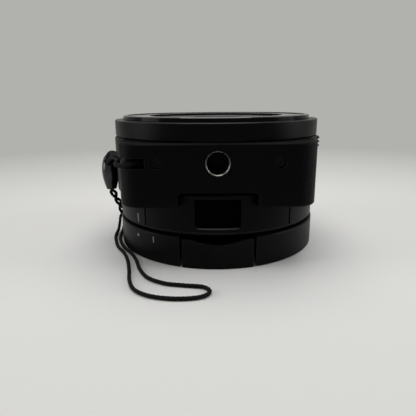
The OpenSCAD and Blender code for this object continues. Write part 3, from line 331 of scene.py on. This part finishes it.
def metal(name, colour, rough, stretch=(1.0, 1.0, 30.0), grain=1500.0, depth=0.4 * MICRON):
    """Bare metal with drawn or turned scratches along one direction."""
    made, tree, shader = material(name)
    place = tree.nodes.new("ShaderNodeTexCoord")
    scratch = noise(tree, place, grain, detail=2.0, stretch=stretch)
    tree.links.new(mixed(tree, scratch, scaled(colour, 0.8), colour), shader.inputs["Base Color"])
    tree.links.new(ramp(tree, scratch, rough - 0.06, rough + 0.08), shader.inputs["Roughness"])
    shader.inputs["Metallic"].default_value = 1.0
    bump(tree, shader, scratch, depth, rounding=0.05 * MM)
    return made


def glass(name, colour, clear):
    """Coated optical glass."""
    made, tree, shader = material(name)
    place = tree.nodes.new("ShaderNodeTexCoord")
    film = noise(tree, place, scale=60.0, detail=2.0)
    tree.links.new(mixed(tree, film, scaled(colour, 0.8), colour), shader.inputs["Base Color"])
    tree.links.new(ramp(tree, film, 0.02, 0.05), shader.inputs["Roughness"])
    shader.inputs["Transmission Weight"].default_value = clear
    shader.inputs["IOR"].default_value = 1.5
    shader.inputs["Coat Weight"].default_value = 0.6
    shader.inputs["Coat Tint"].default_value = (0.55, 0.5, 0.9, 1.0)
    return made


def turned_face(name, colour, rough, level):
    """Plastic turned or moulded in fine rings about the lens axis."""
    made, tree, shader = material(name)
    place = tree.nodes.new("ShaderNodeTexCoord")
    rings = tree.nodes.new("ShaderNodeTexWave")
    rings.wave_type = "RINGS"
    rings.rings_direction = "Z"
    rings.inputs["Scale"].default_value = 900.0
    rings.inputs["Distortion"].default_value = 0.0
    tree.links.new(place.outputs["Object"], rings.inputs["Vector"])
    slow = noise(tree, place, scale=70.0)
    tree.links.new(mixed(tree, slow, scaled(colour, 0.85), colour), shader.inputs["Base Color"])
    tree.links.new(ramp(tree, slow, rough - 0.05, rough + 0.05), shader.inputs["Roughness"])
    shader.inputs["Specular IOR Level"].default_value = level
    bump(tree, shader, rings.outputs["Fac"], 2.0 * MICRON, rounding=0.1 * MM)
    return made


def mouth_metal(name, bright, dark, bright_y0, bright_y1):
    """Blackened metal with a bright turned ring in the chamfer of the tripod socket."""
    made, tree, shader = material(name)
    place = tree.nodes.new("ShaderNodeTexCoord")
    split = parts_of(tree, place.outputs["Object"])
    blur = 0.05 * MM
    begin = ramp(tree, split["Y"], 0.0, 1.0, bright_y0 - blur, bright_y0 + blur)
    end = ramp(tree, split["Y"], 1.0, 0.0, bright_y1 - blur, bright_y1 + blur)
    scratch = noise(tree, place, scale=1500.0, detail=2.0, stretch=(1.0, 20.0, 1.0))
    share = math_node(tree, "MULTIPLY", begin, end)
    tree.links.new(mixed(tree, share, dark, bright), shader.inputs["Base Color"])
    tree.links.new(ramp(tree, scratch, 0.2, 0.34), shader.inputs["Roughness"])
    shader.inputs["Metallic"].default_value = 1.0
    bump(tree, shader, scratch, 0.4 * MICRON, rounding=0.05 * MM)
    return made


# Among these materials the lighter sharp edges and the extra gloss on what looks up are painted highlights,
# and the darker, less glossy inside of a radius is painted shade.
BODY = moulded("body_grain", colour=(0.0014, 0.0014, 0.0016), rough=0.42, grain=5200.0,
               depth=5.0 * MICRON, level=0.05, edge_highlight_lift=0.03)
RING = moulded("ring_satin", colour=(0.0012, 0.0012, 0.0014), rough=0.34, grain=9000.0,
               depth=1.0 * MICRON, level=0.06, edge_highlight_lift=0.03, painted_top_sheen=0.25)
SATIN = moulded("satin_plastic", colour=(0.0020, 0.0020, 0.0023), rough=0.40, grain=7000.0,
                depth=2.0 * MICRON, level=0.075, edge_highlight_lift=0.025)
BAND = moulded("band_plastic", colour=(0.0020, 0.0020, 0.0023), rough=0.40, grain=7000.0,
               depth=2.0 * MICRON, level=0.075, edge_highlight_lift=0.06, painted_shade_radius=29.7 * MM)
COVER = moulded("cover_plastic", colour=(0.0014, 0.0014, 0.0016), rough=0.36, grain=7000.0,
                depth=2.0 * MICRON, level=0.06, edge_highlight_lift=0.015, painted_shade_radius=29.5 * MM, painted_top_sheen=0.25)
BEZEL = moulded("bezel_gloss", colour=(0.004, 0.004, 0.005), rough=0.12, grain=3000.0,
                depth=0.15 * MICRON, level=0.05, rounding=0.08 * MM, spread=0.02, painted_top_sheen=1.0)
GLOSS = moulded("polished_plastic", colour=(0.004, 0.004, 0.005), rough=0.08, grain=3000.0,
                depth=0.15 * MICRON, level=0.5, rounding=0.08 * MM, spread=0.02)
RUBBER = moulded("pad_rubber", colour=(0.022, 0.022, 0.024), rough=0.78, grain=3600.0,
                 depth=9.0 * MICRON, level=0.25)
CORD = moulded("cord_weave", colour=(0.006, 0.006, 0.0066), rough=0.85, grain=9000.0,
               depth=12.0 * MICRON, level=0.12, rounding=0.0)
BEAD = moulded("bead_plastic", colour=(0.004, 0.004, 0.0044), rough=0.18, grain=4000.0,
               depth=1.0 * MICRON, level=0.5)
BOARD = moulded("board_lacquer", colour=(0.02, 0.11, 0.06), rough=0.35, grain=2500.0,
                depth=4.0 * MICRON, level=0.5)
LAMP = moulded("lamp_diffuser", colour=(0.62, 0.66, 0.68), rough=0.22, grain=2000.0,
               depth=0.5 * MICRON, level=0.5)
PACK = moulded("pack_film", colour=(0.035, 0.04, 0.05), rough=0.4, grain=1800.0,
               depth=2.0 * MICRON)
PRINT = moulded("white_print", colour=(0.22, 0.22, 0.22), rough=0.55, grain=6000.0,
                depth=1.0 * MICRON, level=0.3, rounding=0.0)
FACE = turned_face("turned_black", colour=(0.0085, 0.0085, 0.0095), rough=0.4, level=0.36)
STEEL = metal("drawn_steel", colour=(0.60, 0.60, 0.62), rough=0.30)
SHEET = metal("sheet_steel", colour=(0.56, 0.56, 0.58), rough=0.30, stretch=(40.0, 1.0, 1.0), grain=120.0,
              depth=0.2 * MICRON)
BLACKENED = (0.002, 0.002, 0.0019)
THREAD = metal("dark_thread", colour=BLACKENED, rough=0.46, stretch=(1.0, 20.0, 1.0))
mouth_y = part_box("tripod_socket")[0][1]
SOCKET = mouth_metal("socket_metal", bright=(0.50, 0.49, 0.45), dark=BLACKENED,
                     bright_y0=mouth_y + 0.02 * MM, bright_y1=mouth_y + 0.3 * MM)
BRASS = metal("turned_brass", colour=(0.72, 0.55, 0.26), rough=0.28)
COPPER = metal("copper_film", colour=(0.75, 0.42, 0.24), rough=0.32, stretch=(30.0, 1.0, 1.0))
LENS = glass("coated_glass", colour=(0.80, 0.86, 0.95), clear=0.9)
FILTER = glass("filter_glass", colour=(0.55, 0.85, 0.85), clear=0.7)

MATERIALS = {
    BODY: ["main_housing", "side_panel", "zoom_lever"],
    RING: ["front_ring"],
    FACE: ["outer_barrel", "inner_barrel"],
    BEZEL: ["lens_bezel"],
    GLOSS: ["display_window"],
    COVER: ["battery_cover"],
    BAND: ["rear_cover"],
    SATIN: ["attachment_base", "front_clip", "rear_clip", "shutter_button", "power_button",
            "lens_base", "battery_tray", "zoom_ring_gear", "barrier_blade_a", "barrier_blade_b",
            "housing_screws", "strap_post"],
    RUBBER: ["light_seal", "phone_pads", "front_clip_pad", "rear_clip_pad"],
    STEEL: ["shutter_switch", "power_switch", "microphones", "usb_socket", "zoom_motor",
            "iris_unit", "focus_guides", "sensor_plate", "processor_shield", "card_slot", "front_clip_pin",
            "rear_clip_pin"],
    SHEET: ["slide_plate"],
    THREAD: ["chassis"],
    SOCKET: ["tripod_socket"],
    BRASS: ["zoom_pinion", "battery_contacts"],
    LENS: ["front_lens", "zoom_lens_group", "focus_lens"],
    FILTER: ["infrared_filter"],
    BOARD: ["main_board", "image_sensor", "display_module"],
    COPPER: ["nfc_antenna"],
    LAMP: ["status_lamp"],
    PACK: ["battery", "memory_card"],
    BEAD: ["strap_bead"],
    CORD: ["hook_cord", "hand_cord"],
}


def paint(obj, made):
    obj.data.materials.clear()
    obj.data.materials.append(made)


for made, nodes in MATERIALS.items():
    for node in nodes:
        paint(frame["nodes"][node], made)
paint(hook_rope, CORD)
paint(hand_rope, CORD)


def small_piece(obj, body, made):
    """Paint a small piece and let it ride on a body."""
    paint(obj, made)
    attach(obj, body)


# Printed marks: thin patches laid on a round wall, in millimetres and in degrees from -Y towards +X
INK = 0.02
ATTACHMENT_WALL = 30.35 + INK
BAND_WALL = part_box("rear_cover")[1][0] / MM + INK
LOCK_ANGLE, UNLOCK_ANGLE = -47.0, -35.0


def on_wall(radius, angle, z):
    a = math.radians(angle)
    return Vector((radius * math.sin(a), -radius * math.cos(a), z)) * MM


def wall_mark(name, body, radius, outline, steps=6):
    """A printed patch whose lower and upper edges are given in degrees and millimetres."""
    verts, faces = [], []
    for i in range(steps + 1):
        t = i / steps
        for (a0, z0), (a1, z1) in outline:
            verts.append(on_wall(radius, a0 + (a1 - a0) * t, z0 + (z1 - z0) * t))
    for i in range(steps):
        faces.append((2 * i, 2 * i + 2, 2 * i + 3, 2 * i + 1))
    small_piece(link_mesh(name, verts, faces), body, PRINT)


def bar(angle, half, z0, z1):
    return ((angle - half, z0), (angle + half, z0)), ((angle - half, z1), (angle + half, z1))


def arrow(angle, half, z0, z1):
    return ((angle - half, z0), (angle + half, z0)), ((angle, z1), (angle, z1))


wall_mark("lock_arrow_mark", "attachment", ATTACHMENT_WALL, arrow(LOCK_ANGLE, half=1.1, z0=6.2, z1=7.2))
wall_mark("unlock_bar_mark", "attachment", ATTACHMENT_WALL, bar(UNLOCK_ANGLE, half=0.33, z0=5.7, z1=7.4))
wall_mark("index_bar_mark", "camera", BAND_WALL, bar(LOCK_ANGLE, half=0.35, z0=10.3, z1=12.8))


def thread_ridge(name, centre_z, y0, y1, wall_r, ridge, pitch, per_turn=48):
    """A thread's ridge that winds inwards from y0 to y1, in millimetres."""
    verts, faces = [], []
    count = int((y1 - y0 - pitch) / pitch * per_turn)
    crest_start, crest_end = 0.42 * pitch, 0.58 * pitch
    section = ((0.0, wall_r), (crest_start, wall_r - ridge), (crest_end, wall_r - ridge), (pitch, wall_r))
    for i in range(count + 1):
        a = 2 * math.pi * i / per_turn
        for along, r in section:
            y = y0 + pitch * i / per_turn + along
            verts.append(Vector((r * math.cos(a), y, centre_z + r * math.sin(a))) * MM)
    k = len(section)
    for i in range(count):
        for s in range(k - 1):
            faces.append((i * k + s, (i + 1) * k + s, (i + 1) * k + s + 1, i * k + s + 1))
    small_piece(link_mesh(name, verts, faces, smooth=False), "camera", THREAD)


# The ridge keeps this far inside the ends of the threaded hole
RIDGE_MARGIN = 0.1
tripod = next(mount for mount in frame["record"]["mounts"] if mount["name"] == "tripod_thread")
tripod_y, tripod_z = (v / MM for v in tripod["pos_m"][1:])
ridge_half = tripod["dims"]["length_mm"] / 2 - RIDGE_MARGIN
thread_ridge("tripod_thread_ridge", tripod_z, tripod_y - ridge_half, tripod_y + ridge_half,
             wall_r=tripod["dims"]["r_mm"], ridge=0.2, pitch=1.27)


def box_piece(name, low, high, made, turn=0.0):
    """A small plain block of the camera between two corners in millimetres, turned about the lens axis."""
    corners = [(x, y, z) for z in (low[2], high[2]) for y in (low[1], high[1]) for x in (low[0], high[0])]
    spin = Matrix.Rotation(math.radians(turn), 3, "Z")
    verts = [spin @ (Vector(c) * MM) for c in corners]
    faces = [(0, 2, 3, 1), (4, 5, 7, 6), (0, 1, 5, 4), (2, 6, 7, 3), (0, 4, 6, 2), (1, 3, 7, 5)]
    small_piece(link_mesh(name, verts, faces, smooth=False), "camera", made)


# Tongue of the USB socket and its contacts
USB_TURN = 8.0
USB_X0, USB_X1 = 25.9, 29.6
TONGUE_HALF = 2.9
TONGUE_Z0, TONGUE_Z1 = 19.9, 20.5
CONTACT_COUNT = 6
CONTACT_PITCH = 0.9
CONTACT_HALF = 0.2
CONTACT_T = 0.06
CONTACT_X0, CONTACT_X1 = 26.2, 29.2
box_piece("usb_tongue", (USB_X0, -TONGUE_HALF, TONGUE_Z0), (USB_X1, TONGUE_HALF, TONGUE_Z1), GLOSS,
          turn=USB_TURN)
for i in range(CONTACT_COUNT):
    y = CONTACT_PITCH * (i - (CONTACT_COUNT - 1) / 2)
    box_piece(f"usb_contact_{i}", (CONTACT_X0, y - CONTACT_HALF, TONGUE_Z1),
              (CONTACT_X1, y + CONTACT_HALF, TONGUE_Z1 + CONTACT_T), BRASS, turn=USB_TURN)

# Packages on the main board, round the shield can: middle in x and y, width, depth, height
BOARD_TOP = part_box("main_board")[1][2] / MM
PACKAGES = [
    (12.5, 5, 4, 3, 0.8), (13.5, -6, 3, 5, 1.0), (-12.5, 6, 5, 4, 0.9), (-13, -5, 3, 3, 0.7),
    (3, 13, 6, 3, 0.9), (-5, 14, 3, 2, 0.6), (-2, -13, 5, 4, 1.0), (7, -14, 2, 3, 0.6),
]
for i, (x, y, width, depth, height) in enumerate(PACKAGES):
    box_piece(f"board_package_{i}", (x - width / 2, y - depth / 2, BOARD_TOP),
              (x + width / 2, y + depth / 2, BOARD_TOP + height), GLOSS)


# Floor and light
FLOOR_R = 0.6
FLOOR_SIDES = 96
FADE_START, FADE_END = 0.05, 0.28
BACKGROUND = (0.44, 0.44, 0.42, 1.0)
ROOM = (1.0, 1.0, 0.98, 1.0)
ROOM_FRONT, ROOM_BACK = 0.05, 0.50
ROOM_START, ROOM_END = -0.70, 0.50


def mix_shaders(tree, share, first, second, target):
    node = tree.nodes.new("ShaderNodeMixShader")
    tree.links.new(share, node.inputs[0])
    tree.links.new(first.outputs[0], node.inputs[1])
    tree.links.new(second.outputs[0], node.inputs[2])
    tree.links.new(node.outputs[0], target)


def add_floor():
    """A round sheet of paper that fades into the background."""
    angles = [2 * math.pi * i / FLOOR_SIDES for i in range(FLOOR_SIDES)]
    rim = [Vector((math.cos(a), math.sin(a), 0.0)) * FLOOR_R for a in angles]
    floor = link_mesh("floor", rim, [tuple(range(FLOOR_SIDES))], smooth=False)
    made, tree, shader = material("floor_paper")
    place = tree.nodes.new("ShaderNodeTexCoord")
    shader.inputs["Base Color"].default_value = (0.74, 0.735, 0.72, 1.0)
    shader.inputs["Roughness"].default_value = 0.7
    shader.inputs["Specular IOR Level"].default_value = 0.2
    bump(tree, shader, noise(tree, place, scale=1400.0), 4.0 * MICRON)
    fade = ramp(tree, length_of(tree, place.outputs["Object"]), 1.0, 0.0, FADE_START, FADE_END)
    out = next(n for n in tree.nodes if n.type == "OUTPUT_MATERIAL")
    clear = tree.nodes.new("ShaderNodeBsdfTransparent")
    mix_shaders(tree, fade, clear, shader, out.inputs["Surface"])
    paint(floor, made)


def add_world():
    """A plain background, and a room that is bright behind the object and dim behind the camera."""
    world = bpy.data.worlds.new("studio")
    scene.world = world
    world.use_nodes = True
    tree = world.node_tree
    tree.nodes.clear()
    out = tree.nodes.new("ShaderNodeOutputWorld")
    path = tree.nodes.new("ShaderNodeLightPath")
    mirrored = math_node(tree, "MAXIMUM", path.outputs["Is Glossy Ray"], path.outputs["Is Transmission Ray"])
    seen = math_node(tree, "MAXIMUM", path.outputs["Is Camera Ray"], mirrored)
    place = tree.nodes.new("ShaderNodeTexCoord")
    split = parts_of(tree, place.outputs["Generated"])
    room = tree.nodes.new("ShaderNodeBackground")
    room.inputs["Color"].default_value = ROOM
    strength = ramp(tree, split["Y"], ROOM_FRONT, ROOM_BACK, ROOM_START, ROOM_END)
    tree.links.new(strength, room.inputs["Strength"])
    plain = tree.nodes.new("ShaderNodeBackground")
    plain.inputs["Color"].default_value = BACKGROUND
    mix_shaders(tree, seen, room, plain, out.inputs["Surface"])


def softbox(name, place, width, height, power):
    """A rectangular lamp that looks at the object."""
    lamp = bpy.data.lights.new(name, "AREA")
    lamp.shape = "RECTANGLE"
    lamp.size = width
    lamp.size_y = height
    lamp.energy = power
    obj = bpy.data.objects.new(name, lamp)
    obj.location = place
    obj.rotation_mode = "QUATERNION"
    obj.rotation_quaternion = (MIDDLE - Vector(place)).to_track_quat("-Z", "Y")
    scene.collection.objects.link(obj)


MIDDLE = Vector((0.0, 0.0, 0.02))
add_floor()
add_world()
softbox("top_softbox", (0.0, 0.02, 0.50), width=0.40, height=0.60, power=1.6)
softbox("left_softbox", (-0.42, -0.06, 0.16), width=0.22, height=0.34, power=0.75)
softbox("right_softbox", (0.42, -0.02, 0.18), width=0.22, height=0.34, power=0.75)

scene.view_settings.view_transform = "Standard"
